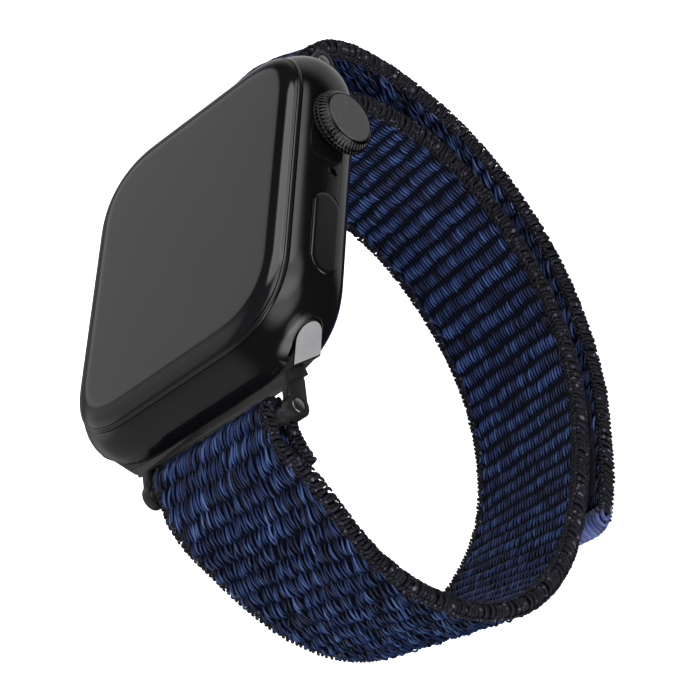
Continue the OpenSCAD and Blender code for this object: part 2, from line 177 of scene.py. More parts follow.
def apply_modifiers(thing, smooth_angle=35):
    """Replaces a mesh by what its modifiers make of it."""
    graph = bpy.context.evaluated_depsgraph_get()
    made = bpy.data.meshes.new_from_object(thing.evaluated_get(graph))
    thing.modifiers.clear()
    thing.data = made
    made.shade_smooth()
    made.set_sharp_from_angle(angle=math.radians(smooth_angle))
    return thing


def cut_away(thing, cutters):
    """Subtracts closed meshes, each a (points, faces) pair, from a closed mesh."""
    for points, faces in cutters:
        cutter = recalc(add_mesh("cutter", points, faces, None))
        step = thing.modifiers.new("cut", "BOOLEAN")
        step.operation, step.solver, step.object = "DIFFERENCE", "EXACT", cutter
        apply_modifiers(thing)
        bpy.data.objects.remove(cutter)
    return thing


def piece(thing, body, slot, *stands_for):
    """Fixes a finished mesh to its body and hides the CAD nodes it stands for."""
    if body is not None:
        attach(thing, body)
    if stands_for:
        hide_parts(*stands_for)
    return thing


def from_node(node, name, material, bevel=0.1, segments=2, smooth_angle=35):
    """A copy of a CAD node's mesh with its flat faces joined and its edges rounded."""
    mesh = nodes[node].data.copy()
    mesh.materials.clear()
    mesh.materials.append(material)
    bm = bmesh.new()
    bm.from_mesh(mesh)
    bmesh.ops.remove_doubles(bm, verts=bm.verts, dist=0.002 * MM)
    bmesh.ops.dissolve_limit(bm, angle_limit=math.radians(1), verts=bm.verts, edges=bm.edges)
    bm.to_mesh(mesh)
    bm.free()
    thing = show(name, mesh)
    if bevel:
        step = thing.modifiers.new("round", "BEVEL")
        step.width, step.segments, step.limit_method = bevel * MM, segments, "ANGLE"
        step.angle_limit, step.use_clamp_overlap = math.radians(30), True
    return apply_modifiers(thing, smooth_angle)


# ---- Materials ----

def new_material(name, **sockets):
    """A material with one Principled shader, with the values that are the same all over."""
    mat = bpy.data.materials.new(name)
    mat.use_nodes = True
    shader = mat.node_tree.nodes["Principled BSDF"]
    for key, value in sockets.items():
        shader.inputs[key.replace("_", " ")].default_value = value
    return mat, mat.node_tree, shader


def noise(tree, scale, detail=2.0, stretch=(1, 1, 1)):
    """A noise in the object's own coordinates, scale in turns per millimetre."""
    where = tree.nodes.new("ShaderNodeTexCoord")
    turn = tree.nodes.new("ShaderNodeMapping")
    turn.inputs["Scale"].default_value = stretch
    tex = tree.nodes.new("ShaderNodeTexNoise")
    tex.inputs["Scale"].default_value = scale / MM
    tex.inputs["Detail"].default_value = detail
    tree.links.new(where.outputs["Object"], turn.inputs["Vector"])
    tree.links.new(turn.outputs["Vector"], tex.inputs["Vector"])
    return tex.outputs["Fac"]


def ramp(tree, factor, stops):
    """A colour ramp over (position, colour) stops."""
    node = tree.nodes.new("ShaderNodeValToRGB")
    elements = node.color_ramp.elements
    while len(elements) < len(stops):
        elements.new(0.5)
    for element, (position, colour) in zip(elements, stops):
        element.position = position
        element.color = (*colour, 1)
    tree.links.new(factor, node.inputs["Fac"])
    return node.outputs["Color"]


def spread(tree, factor, low, high):
    """A number that goes from low to high with the factor."""
    node = tree.nodes.new("ShaderNodeMapRange")
    node.inputs["To Min"].default_value = low
    node.inputs["To Max"].default_value = high
    tree.links.new(factor, node.inputs["Value"])
    return node.outputs["Result"]


def bump(tree, shader, height, distance, strength=1.0):
    """Drives the shader's normal from a height, distance in millimetres."""
    node = tree.nodes.new("ShaderNodeBump")
    node.inputs["Distance"].default_value = distance * MM
    node.inputs["Strength"].default_value = strength
    tree.links.new(height, node.inputs["Height"])
    tree.links.new(node.outputs["Normal"], shader.inputs["Normal"])


def finish_of(name, dark, light, rough, grain=0.25, relief=0.0, stretch=(1, 1, 1), **sockets):
    """A hard surface: two close tones and two roughnesses mixed by fine noise, and a little relief."""
    mat, tree, shader = new_material(name, **sockets)
    fac = noise(tree, grain, 3.0, stretch)
    tree.links.new(ramp(tree, fac, [(0.3, dark), (0.7, light)]), shader.inputs["Base Color"])
    tree.links.new(spread(tree, fac, *rough), shader.inputs["Roughness"])
    if relief:
        bump(tree, shader, noise(tree, grain * 3, 2.0, stretch), relief)
    return mat


def thread_of(name, deep, mid, light, rough, fibre=2.2, **sockets):
    """Yarn: its tone comes from the strand's shade attribute, which holds its own tone and, on pile and rib
    strands, painted shade towards their ends, and from a fine fibre noise.
    """
    mat, tree, shader = new_material(name, **sockets)
    tone = tree.nodes.new("ShaderNodeAttribute")
    tone.attribute_name = "shade"
    fine = noise(tree, fibre, 2.0)
    mixed = tree.nodes.new("ShaderNodeMath")
    mixed.operation = "MULTIPLY_ADD"
    tree.links.new(fine, mixed.inputs[0])
    mixed.inputs[1].default_value = 0.3
    tree.links.new(tone.outputs["Fac"], mixed.inputs[2])
    stops = [(0.12, deep), (0.55, mid), (1.0, light)]
    tree.links.new(ramp(tree, mixed.outputs[0], stops), shader.inputs["Base Color"])
    tree.links.new(spread(tree, fine, *rough), shader.inputs["Roughness"])
    bump(tree, shader, fine, 0.03)
    return mat


def make_materials():
    """Every material by a short name: hard finishes first, then the yarns."""
    black = (0.002, 0.002, 0.0023)
    soft_black = (0.0035, 0.0035, 0.004)
    return {
        "case": finish_of("case_gloss", black, soft_black, (0.1, 0.14), 0.05, IOR=1.5),
        "glass": finish_of("glass_gloss", (0.004, 0.004, 0.005), (0.007, 0.007, 0.008), (0.05, 0.09), 0.04,
                           IOR=1.52),
        "bezel": finish_of("bezel_gloss", (0.004, 0.004, 0.004), (0.008, 0.008, 0.008), (0.1, 0.16), 0.05),
        "cover": finish_of("cover_satin", (0.012, 0.012, 0.013), (0.02, 0.02, 0.022), (0.32, 0.42), 0.6,
                           0.004),
        "crown": finish_of("crown_anodised", (0.03, 0.03, 0.031), (0.05, 0.05, 0.052), (0.18, 0.26), 0.8,
                           Metallic=1.0),
        "cap": finish_of("cap_satin", (0.045, 0.045, 0.046), (0.058, 0.058, 0.06), (0.42, 0.52), 1.2, 0.003),
        "connector_dark": finish_of("connector_anodised", (0.008, 0.008, 0.008), (0.014, 0.014, 0.015),
                                    (0.2, 0.3), 0.3),
        "connector": finish_of("connector_polished", (0.1, 0.1, 0.103), (0.13, 0.13, 0.133), (0.16, 0.24),
                               0.3, Metallic=1.0),
        "steel": finish_of("steel_ground", (0.3, 0.3, 0.31), (0.45, 0.45, 0.46), (0.24, 0.36), 0.5, 0.003,
                           Metallic=1.0),
        "rubber": finish_of("rubber_matte", (0.012, 0.012, 0.012), (0.02, 0.02, 0.02), (0.6, 0.8), 1.0,
                            0.01),
        "board": finish_of("board_mask", (0.008, 0.05, 0.024), (0.02, 0.11, 0.05), (0.3, 0.5), 0.9, 0.02),
        "copper": finish_of("coil_copper", (0.45, 0.18, 0.07), (0.75, 0.38, 0.18), (0.25, 0.4), 0.6, 0.02,
                            Metallic=1.0),
        "cell": finish_of("cell_foil", (0.11, 0.11, 0.12), (0.2, 0.2, 0.21), (0.3, 0.5), 0.25, 0.03,
                          Metallic=0.7),
        "can": finish_of("can_tinned", (0.42, 0.42, 0.43), (0.62, 0.62, 0.64), (0.25, 0.4), 0.4, 0.01,
                         Metallic=1.0),
        "module": finish_of("module_moulded", (0.03, 0.03, 0.032), (0.055, 0.055, 0.06), (0.45, 0.6), 0.8,
                            0.015),
        "bush": finish_of("bush_turned", (0.3, 0.24, 0.12), (0.5, 0.42, 0.24), (0.25, 0.38), 0.9, 0.008,
                          (6, 1, 1), Metallic=1.0),
        "screen": finish_of("screen_dark", (0.002, 0.002, 0.003), (0.004, 0.004, 0.006), (0.2, 0.3), 0.3),
        "crystal": crystal_material(),
        "mesh": mesh_material(),
        # The core's near-black tones are painted shade for the gaps between the yarns.
        "core_painted_shade": thread_of("strap_core", (0.002, 0.002, 0.004), (0.0012, 0.0018, 0.006),
                          (0.003, 0.004, 0.012), (0.7, 0.9), Specular_IOR_Level=0.15),
        "pile": thread_of("pile_yarn", (0.001, 0.0016, 0.007), (0.006, 0.017, 0.062), (0.042, 0.078, 0.19),
                          (0.4, 0.55), Specular_IOR_Level=0.35),
        "rib": thread_of("rib_yarn", (0.0006, 0.0012, 0.006), (0.006, 0.017, 0.07), (0.035, 0.075, 0.23),
                         (0.36, 0.5), Specular_IOR_Level=0.4),
        "edge": thread_of("edge_yarn", (0.0015, 0.0015, 0.003), (0.0075, 0.0072, 0.013), (0.17, 0.16, 0.2),
                          (0.55, 0.75), Specular_IOR_Level=0.3),
        "binding": thread_of("binding_yarn", (0.008, 0.013, 0.055), (0.028, 0.045, 0.17), (0.08, 0.12, 0.33),
                             (0.28, 0.4), Sheen_Weight=0.2),
        "sewing": thread_of("sewing_thread", (0.004, 0.004, 0.006), (0.012, 0.012, 0.018),
                            (0.03, 0.03, 0.04), (0.5, 0.7)),
        "hook": thread_of("hook_nylon", (0.006, 0.006, 0.008), (0.02, 0.02, 0.024), (0.05, 0.05, 0.055),
                          (0.4, 0.55)),
    }


def radius_and_angle(tree):
    """The distance from the Z axis in metres and the angle round it, as sockets."""
    where = tree.nodes.new("ShaderNodeTexCoord")
    split = tree.nodes.new("ShaderNodeSeparateXYZ")
    tree.links.new(where.outputs["Object"], split.inputs[0])
    flat = tree.nodes.new("ShaderNodeCombineXYZ")
    tree.links.new(split.outputs[0], flat.inputs[0])
    tree.links.new(split.outputs[1], flat.inputs[1])
    length = tree.nodes.new("ShaderNodeVectorMath")
    length.operation = "LENGTH"
    tree.links.new(flat.outputs[0], length.inputs[0])
    angle = tree.nodes.new("ShaderNodeMath")
    angle.operation = "ARCTAN2"
    tree.links.new(split.outputs[1], angle.inputs[0])
    tree.links.new(split.outputs[0], angle.inputs[1])
    return length.outputs["Value"], angle.outputs[0]


def crystal_material():
    """Polished black with a grey ring and darker windows for the sensor's lamps under it."""
    mat, tree, shader = new_material("crystal_gloss", Coat_Weight=0.6, Coat_Roughness=0.05)
    radius, angle = radius_and_angle(tree)
    part = spread(tree, radius, 0, 1)
    tree.nodes[-1].inputs["From Max"].default_value = CRYSTAL_R * MM
    dark, grey, window = (0.006, 0.006, 0.008), (0.05, 0.05, 0.055), (0.012, 0.004, 0.006)
    stops = [(0.0, window), (0.14, window), (0.16, dark), (0.3, dark), (0.32, (0.02, 0.022, 0.024)),
             (0.58, (0.016, 0.018, 0.02)), (0.6, grey), (0.63, grey), (0.65, dark), (1.0, dark)]
    tree.links.new(ramp(tree, part, stops), shader.inputs["Base Color"])
    tree.links.new(spread(tree, noise(tree, 0.1), 0.06, 0.12), shader.inputs["Roughness"])
    wave = tree.nodes.new("ShaderNodeMath")
    wave.operation = "SINE"
    tree.links.new(angle, wave.inputs[0])
    bump(tree, shader, wave.outputs[0], 0.0005)
    return mat


def mesh_material():
    """A fine black woven mesh."""
    mat, tree, shader = new_material("speaker_weave", Metallic=0.3)
    cells = tree.nodes.new("ShaderNodeTexVoronoi")
    cells.inputs["Scale"].default_value = 4 / MM
    cells.inputs["Randomness"].default_value = 0
    where = tree.nodes.new("ShaderNodeTexCoord")
    tree.links.new(where.outputs["Object"], cells.inputs["Vector"])
    stops = [(0.3, (0.03, 0.03, 0.03)), (0.6, (0.002, 0.002, 0.002))]
    tree.links.new(ramp(tree, cells.outputs["Distance"], stops), shader.inputs["Base Color"])
    tree.links.new(spread(tree, cells.outputs["Distance"], 0.4, 0.8), shader.inputs["Roughness"])
    bump(tree, shader, cells.outputs["Distance"], 0.05)
    return mat


material = make_materials()


# ---- Case ----

def rim_curve(h):
    """How far the side wall curves in at a height above or below the case's widest section."""
    if h >= 0:
        return RIM_INSET * (h / CASE_RISE) ** 2.2
    return BACK_INSET * (-h / CASE_DROP) ** 2.4


def dome_curve(u):
    """How far the glass's edge curves in at a share u of its height."""
    return RIM_INSET + GLASS_CURVE * (1 - math.sqrt(max(0.0, 1 - u * u)))


def outline(inset, z, steps=20):
    """The case's plan drawn in by inset, as one ring of points at height z."""
    radius, power = CASE_CORNER - inset, 2 / CORNER_POWER
    w, h = SIDE - CASE_CORNER, CASE_H / 2 - CASE_CORNER
    ring = []
    for quarter in range(4):
        for i in range(steps + 1):
            a = math.pi / 2 * i / steps
            c = math.cos(a) ** power * radius if i < steps else 0.0
            d = math.sin(a) ** power * radius if i else 0.0
            x, y = [(w + c, h + d), (-w - d, h + c), (-w - c, -h - d), (w + d, -h - c)][quarter]
            ring.append((x, y, z))
    return ring


def rounded_ring(w, h, r, z, steps=8):
    """A rounded rectangle centred on the Z axis."""
    ring = []
    for quarter, (sx, sy) in enumerate([(1, 1), (-1, 1), (-1, -1), (1, -1)]):
        for i in range(steps + 1):
            a = math.pi / 2 * (quarter + i / steps)
            ring.append((sx * (w / 2 - r) + r * math.cos(a), sy * (h / 2 - r) + r * math.sin(a), z))
    return ring


def block(w, h, r, z0, z1):
    """A box with rounded upright edges."""
    return loft([rounded_ring(w, h, r, z0), rounded_ring(w, h, r, z1)])


def pill(length, wide, steps=14):
    """A pill's outline as (along, across) pairs."""
    r, half = wide / 2, (length - wide) / 2
    turns = np.linspace(-math.pi / 2, math.pi / 2, steps)
    right = [(half + r * math.cos(a), r * math.sin(a)) for a in turns]
    return right + [(-u, -v) for u, v in right]


def circle(r, steps=40):
    """A circle's points as (u, v) pairs."""
    turns = np.linspace(0, 2 * math.pi, steps, endpoint=False)
    return [(r * math.cos(a), r * math.sin(a)) for a in turns]


def along_x(shape, x0, x1, y, z):
    """An outline of (y, z) pairs drawn out along X."""
    return loft([[(x, y + u, z + v) for u, v in shape] for x in (x0, x1)])


def slot_profile(gap=0.0, reach=8.0, narrow=None):
    """The band slot's section as (y, z) pairs at the lower end: a round channel and its narrower mouth.

    A gap draws the outline in, for what slides in the slot. The mouth has half-width narrow, and goes out
    to reach.
    """
    out = np.array([-math.cos(SLOT_TILT), -math.sin(SLOT_TILT)])
    up = np.array([math.sin(SLOT_TILT), -math.cos(SLOT_TILT)])
    centre = np.array([-SLOT_Y, SLOT_Z])
    wide = SLOT_R - gap
    narrow = narrow or MOUTH_R - gap
    turns = np.linspace(-math.pi / 2, math.pi / 2, CHANNEL_STEPS)
    channel = [-out * wide * math.cos(a) + up * wide * math.sin(a) for a in turns]
    ends = [(SLOT_WIDE - gap, wide), (SLOT_WIDE - gap, narrow), (reach, narrow)]
    lips = [out * d + up * r for d, r in ends] + [out * d - up * r for d, r in reversed(ends)]
    return [tuple(centre + p) for p in channel + lips]


def mirrored(shape, end):
    """A (y, z) outline at the lower end as it is for end 1, or at the upper end for end -1."""
    return [(u * end, v) for u, v in shape]


def case_cutters():
    """What is cut out of the case: its inside, the slots, and the holes for buttons, crown and sound."""
    cutters = [block(30.8, 32, 5, BACK_Z + 1.1, RIM_Z + 1), block(32.2, 38.2, 8.1, RIM_Z - 0.45, RIM_Z + 1),
               block(31, 31.6, 8, BACK_Z - 1, BACK_Z + 0.72), block(28.4, 29, 6.7, BACK_Z - 0.8, RIM_Z)]
    lip = 0.12
    for end in (1, -1):
        cutters.append(along_x(mirrored(slot_profile(), end), -30, 30, 0, 0))
        for wide, deep in ((1.9, 1.25), (2.15, lip)):
            release = pill(wide + 5.2, wide)
            cutters.append(loft([[(u, v - end * RELEASE_Y, z) for u, v in release]
                                 for z in (BACK_Z - 1, BACK_Z + deep)]))
        cutters.append(loft([[(u, v - end * NIB_Y, z) for u, v in circle(0.5, 24)]
                             for z in (BACK_Z + 0.8, BACK_Z + 3.3)]))
    outside, wall = SIDE + 1, SIDE - 6
    for shape, start, y, z in [
        (circle(2.0), wall, CROWN_Y, CROWN_Z),
        (circle(2.2), SIDE - lip, CROWN_Y, CROWN_Z),
        (circle(MIC_R, 28), wall, MIC_Y, MIC_Z),
        (pill(BUTTON_LEN + 0.12, BUTTON_WIDE + 0.12), SIDE - 1.7, BUTTON_Y, BUTTON_Z),
        (pill(BUTTON_LEN + 0.4, BUTTON_WIDE + 0.4), SIDE - lip, BUTTON_Y, BUTTON_Z),
    ]:
        cutters.append(along_x(shape, start, outside, y, z))
    cutters.append(along_x(circle(0.85, 24), wall, SIDE - 1, BUTTON_Y, BUTTON_Z))
    for s in (-1, 1):
        cutters.append(along_x(pill(7.5, 1.2), -SIDE - 1, -SIDE + 6, s * 4.6 - 3, MID_Z))
    return cutters


def case_piece():
    """The case's shell, lofted from its back to its rim, with everything cut out of it."""
    below = [-CASE_DROP * math.sin(a) for a in np.linspace(math.pi / 2, 0, 22)]
    above = [CASE_RISE * math.sin(a) for a in np.linspace(0, math.pi / 2, 20)][1:]
    rings = [outline(rim_curve(h), MID_Z + h) for h in below + above]
    rings.append(outline(RIM_INSET + 0.1, RIM_Z + 0.01))
    return cut_away(solid("case_shell", rings, material["case"], 40), case_cutters())


def shell_x(y, z):
    """Half the case's width at (y, z), on its outer surface."""
    inset = rim_curve(z - MID_Z)
    radius = CASE_CORNER - inset
    part = (abs(y) - (CASE_H / 2 - CASE_CORNER)) / radius
    if part <= 0:
        return SIDE - inset
    return SIDE - CASE_CORNER + radius * max(0.0, 1 - part ** CORNER_POWER) ** (1 / CORNER_POWER)


# ---- Strands: many small tubes in one mesh ----

def set_shade(mesh, values):
    """Gives each vertex the tone that its yarn's material reads."""
    tone = mesh.attributes.new("shade", "FLOAT", "POINT")
    tone.data.foreach_set("value", values.astype(np.float32).ravel())


def strands(name, paths, normals, wide, high, shade, mat, sides=5):
    """Closed tubes along paths (n, k, 3), flattened to half-sizes wide and high, toned by shade."""
    paths = np.asarray(paths, float)
    n, k, _ = paths.shape
    along = np.gradient(paths, axis=1)
    along /= np.linalg.norm(along, axis=2, keepdims=True) + 1e-12
    normals = np.broadcast_to(normals, paths.shape)
    across = np.cross(along, normals)
    across /= np.linalg.norm(across, axis=2, keepdims=True) + 1e-12
    upward = np.cross(across, along)
    turn = 2 * math.pi * (np.arange(sides) + 0.5) / sides
    wide = np.broadcast_to(wide, (n, k))[:, :, None, None]
    high = np.broadcast_to(high, (n, k))[:, :, None, None]
    points = (paths[:, :, None] + across[:, :, None] * wide * np.cos(turn)[:, None]
              + upward[:, :, None] * high * np.sin(turn)[:, None])
    ring = np.arange(sides)
    after = (ring + 1) % sides
    level = np.arange(k - 1)[:, None] * sides
    above = level + sides
    quads = np.stack([level + ring, level + after, above + after, above + ring], -1)
    start = (np.arange(n) * k * sides)[:, None]
    walls = (start + quads.ravel()).reshape(-1)
    caps = np.concatenate([start + ring[::-1], start + (k - 1) * sides + ring], 1).reshape(-1)
    mesh = bpy.data.meshes.new(name)
    mesh.vertices.add(n * k * sides)
    mesh.vertices.foreach_set("co", (points * MM).astype(np.float32).ravel())
    corners = np.concatenate([walls, caps]).astype(np.int32)
    mesh.loops.add(len(corners))
    mesh.loops.foreach_set("vertex_index", corners)
    sizes = np.concatenate([np.full(len(walls) // 4, 4), np.full(2 * n, sides)])
    mesh.polygons.add(len(sizes))
    mesh.polygons.foreach_set("loop_start", (np.cumsum(sizes) - sizes).astype(np.int32))
    mesh.update(calc_edges=True)
    mesh.validate()
    set_shade(mesh, np.broadcast_to(shade, (n, k))[:, :, None] * np.ones(sides))
    mesh.shade_smooth()
    mesh.materials.append(mat)
    return show(name, mesh)


def bead(name, points, normals, radius, mat):
    """One rounded line of metal through points, for the soft rim of a cut edge."""
    return strands(name, [points], np.asarray(normals)[None], radius, radius, 0.5, mat, sides=8)


# ---- The strap's route ----

def smooth(t):
    """A soft step from 0 to 1."""
    c = np.clip(t, 0, 1)
    return c * c * (3 - 2 * c)


def squeeze(y, z):
    """The share of the strap's thickness that is left near the bars, where it is folded tight."""
    return FOLD_THIN + (1 - FOLD_THIN) * smooth((np.hypot(np.abs(y) - BAR_Y, z - BAR_Z) - 2) / 7)


def skew(y, z):
    """How far the strap's line shifts in (y, z) for each millimetre across, as the loop hangs askew."""
    m = smooth((y + 30) / 30)
    full = LOWER_FULL * (1 - m) + UPPER_FULL * m
    share = smooth((SKEW_FROM - z) / (SKEW_FROM - full))
    return (np.outer(1 - m, SKEW_LOWER) + np.outer(m, SKEW_UPPER)) * share[:, None]


def spline(points, steps=8):
    """A smooth curve through the points."""
    p = [np.array(q, float) for q in points]
    out = []
    for i in range(len(p) - 1):
        a, b, c, d = p[max(i - 1, 0)], p[i], p[i + 1], p[min(i + 2, len(p) - 1)]
        for s in range(steps):
            t = s / steps
            out.append(0.5 * (2 * b + (c - a) * t + (2 * a - 5 * b + 4 * c - d) * t * t
                              + (3 * b - a - 3 * c + d) * t ** 3))
    return out + [p[-1]]


def arc(y, z, r, start, end, steps=24):
    """Points of an arc round (y, z), angles in degrees."""
    return [np.array([y + r * math.cos(a), z + r * math.sin(a)])
            for a in np.radians(np.linspace(start, end, steps + 1))]


class Line:
    """The strap's middle line, measured along its length in millimetres."""

    def __init__(self, points):
        points = np.array(points)
        keep = np.r_[True, np.linalg.norm(np.diff(points, axis=0), axis=1) > 1e-6]
        points = points[keep]
        s = np.r_[0, np.cumsum(np.linalg.norm(np.diff(points, axis=0), axis=1))]
        self.length = s[-1]
        self.s = np.linspace(0, self.length, int(self.length / 0.2))
        self.yz = np.stack([np.interp(self.s, s, points[:, i]) for i in (0, 1)], 1)
        tangent = np.gradient(self.yz, axis=0)
        kernel = np.ones(9) / 9
        padded = np.pad(tangent, ((4, 4), (0, 0)), "edge")
        tangent = np.stack([np.convolve(padded[:, i], kernel, "valid") for i in (0, 1)], 1)
        tangent /= np.linalg.norm(tangent, axis=1, keepdims=True)
        self.normal = np.stack([-tangent[:, 1], tangent[:, 0]], 1)
        self.skew = skew(self.yz[:, 0], self.yz[:, 1])
        self.squeeze = squeeze(self.yz[:, 0], self.yz[:, 1])

        near_bar = np.hypot(np.abs(self.yz[:, 0]) - BAR_Y, self.yz[:, 1] - BAR_Z)
        self.pinch = 1 - BAR_PINCH * (1 - smooth((near_bar - PINCH_FROM) / PINCH_REACH))

        past_bar = np.clip((self.s - self.nearest(BAR_Y + FOLD_R, BAR_Z)) / LOOSE_REACH, -1, 1)
        self.loose = LOOSE_FOLD * (1 - past_bar ** 2) ** 2

    def look_up(self, values, s):
        """Values known along the line, at lengths s."""
        return np.interp(s, self.s, values)

    def place(self, s, x, offset):
        """Points at lengths s, at x across and offset from the middle, and the strap's normals there."""
        s, x, offset = np.broadcast_arrays(s, x, offset)
        y, z, ny, nz, ky, kz, q, pinch, loose = (self.look_up(v, s) for v in (
            self.yz[:, 0], self.yz[:, 1], self.normal[:, 0], self.normal[:, 1],
            self.skew[:, 0], self.skew[:, 1], self.squeeze, self.pinch, self.loose))
        x = x * pinch
        slack = loose * np.clip(1 - ((x - LOOSE_MIDDLE) / LOOSE_HALF) ** 2, 0, 1) ** 2
        y, z = y + LOOSE_OUT * slack, z + LOOSE_UP * slack
        points = np.stack([x, y + x * ky + offset * q * ny, z + x * kz + offset * q * nz], -1)
        return points, np.stack([0 * y, ny, nz], -1)

    def nearest(self, y, z):
        """The length at which the line passes closest to (y, z)."""
        return self.s[np.argmin(np.hypot(self.yz[:, 0] - y, self.yz[:, 1] - z))]


lower_fold = arc(-BAR_Y, BAR_Z, FOLD_R, LOWER_LEAVE - 180, LOWER_LEAVE)
upper_fold = arc(BAR_Y, BAR_Z, FOLD_R, 180, UPPER_LEAVE)
line = Line(spline(OVERLAP_ROUTE + [lower_fold[0]]) + lower_fold[1:-1]
            + spline([lower_fold[-1]] + LOOP_ROUTE + [upper_fold[0]]) + upper_fold[1:-1]
            + spline([upper_fold[-1]] + RETURN_ROUTE + [HINGE_AT]) + spline([HINGE_AT] + TAIL_ROUTE)[1:])
hinge_s = line.s[-1] - Line(spline([HINGE_AT] + TAIL_ROUTE)).length
tail_s = hinge_s - BEND_REACH
binding_s = line.s[-1] - WHIP_DEEP - 0.3
bend_start, bend_end = (Vector((0, *(line.place(s, 0, 0)[0][1:] * MM)))
                        for s in (tail_s, hinge_s + BEND_REACH))


def on_strap(thing, slot, *stands_for):
    """A strap piece rides on the band; a tail piece keeps its place baked into its mesh, on no body."""
    if thing.name.startswith("tail"):
        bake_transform(thing)
        return piece(thing, None, slot, *stands_for)
    return piece(thing, "band", slot, *stands_for)


def strap_core(name, start, end, slot, *stands_for):
    """The ground weave under the yarns: a thin band, its faces rippled by the rows of weave. Its yarn is
    near black as painted shade, so the gaps between the yarns above read dark.
    """
    half_w, half_t = STRAP_W / 2 - 0.75, 0.66
    corner = 0.35
    section = [(-half_w, -half_t + corner), (-half_w + corner, -half_t)]
    section += [(x, -half_t) for x in np.linspace(-half_w + 1.2, half_w - 1.2, 9)]
    section += [(half_w - corner, -half_t), (half_w, -half_t + corner)]
    section += [(-x, -o) for x, o in section]
    s = np.arange(start, end, 0.45)
    ripple = 1 + 0.1 * np.cos(2 * math.pi * s / ROW_PITCH)
    rings = []
    for at, wave in zip(s, ripple):
        xs, offsets = np.array(section).T
        rings.append(line.place(at, xs, offsets * wave)[0].tolist())
    thing = solid(name, rings, material["core_painted_shade"], 40)
    set_shade(thing.data, draw.uniform(0.1, 0.5, len(thing.data.vertices)))
    return on_strap(thing, slot, *stands_for)


def pile_rows(name, start, end):
    """The loop side: rows of short slanted strands that stand up in the middle."""
    rows = np.arange(start + 1.1, end - 0.9, ROW_PITCH)
    number = np.arange(len(rows))
    cols = np.arange(-PILE_HALF, PILE_HALF + 0.01, PILE_PITCH)
    shape = (len(rows), len(cols))
    s0 = rows[:, None] + draw.normal(0, 0.2, shape)
    x0 = cols[None] + PILE_PITCH * (number[:, None] % 2 - 0.5) / 2 + draw.normal(0, 0.07, shape)
    lean = -0.42 + draw.normal(0, 0.14, shape)
    long = 2.5 + draw.normal(0, 0.3, shape)
    rise = 0.5 + draw.normal(0, 0.11, shape)
    row = number[:, None]
    patch = 0.08 * np.sin(cols * 1.1 + row * 2.1) + 0.07 * np.sin(cols * 0.4 - row * 1.3)
    tone = 0.36 + patch + draw.normal(0, 0.2, shape)
    t = np.linspace(0, 1, 8)
    arch = np.sin(math.pi * t) ** 0.8
    s = s0[..., None] + long[..., None] * (t - 0.5)
    wiggle = 0.06 * np.sin(2 * math.pi * t) * np.sign(patch)[..., None]
    x = x0[..., None] + lean[..., None] * (t - 0.5) * 2 + wiggle
    p, n = line.place(s, np.clip(x, -PILE_HALF - 0.3, PILE_HALF + 0.3), -0.6 - rise[..., None] * arch)
    # Each strand is darker towards its two ends, where it dips into the weave: painted shade on top of its
    # own tone.
    shade = tone[..., None] - 0.55 * (1 - arch)
    thick = PILE_R * (0.5 + 0.5 * arch)
    return strands(name, p.reshape(-1, len(t), 3), n.reshape(-1, len(t), 3), thick, thick,
                   np.clip(shade.reshape(-1, len(t)), 0, 0.9), material["pile"])


def rib_rows(name, start, end):
    """The plain side: ribs across the strap, each a row of short threads that lie along it."""
    rows = np.arange(start + 1.1, end - 0.9, ROW_PITCH)
    cols = np.arange(-RIB_HALF, RIB_HALF + 0.01, RIB_PITCH)
    shape = (len(rows), len(cols))
    wave = 0.1 * np.sin(cols * 0.9 + rows[:, None] * 0.7)
    s0 = rows[:, None] + wave + draw.normal(0, 0.05, shape)
    edge = np.abs(cols[None]) > RIB_HALF - 0.6
    s0 = s0 + np.where(edge, draw.normal(0, 0.3, shape), 0)
    x0 = cols[None] + draw.normal(0, 0.03, shape)
    lean = draw.normal(0, 0.05, shape) + np.where(edge, draw.normal(0, 0.25, shape), 0)
    long = 1.95 + draw.normal(0, 0.1, shape)
    t = np.linspace(0, 1, 6)
    arch = np.sin(math.pi * t) ** 0.6
    s = s0[..., None] + long[..., None] * (t - 0.5)
    lift = 0.55 + (0.33 + draw.normal(0, 0.03, shape)[..., None]) * arch
    p, n = line.place(s, x0[..., None] + lean[..., None] * (t - 0.5) * 2, lift)
    tone = 0.47 + draw.normal(0, 0.17, shape) + 0.1 * np.sin(cols * 0.35 + rows[:, None] * 1.3)
    # Each thread is darker towards its two ends, where it sinks into the weave: painted shade on top of its
    # own tone.
    shade = tone[..., None] - 0.6 * (1 - arch)
    taper = 0.6 + 0.4 * arch
    return strands(name, p.reshape(-1, len(t), 3), n.reshape(-1, len(t), 3), RIB_R * taper, RIB_R * taper,
                   np.clip(shade.reshape(-1, len(t)), 0, 0.9), material["rib"])


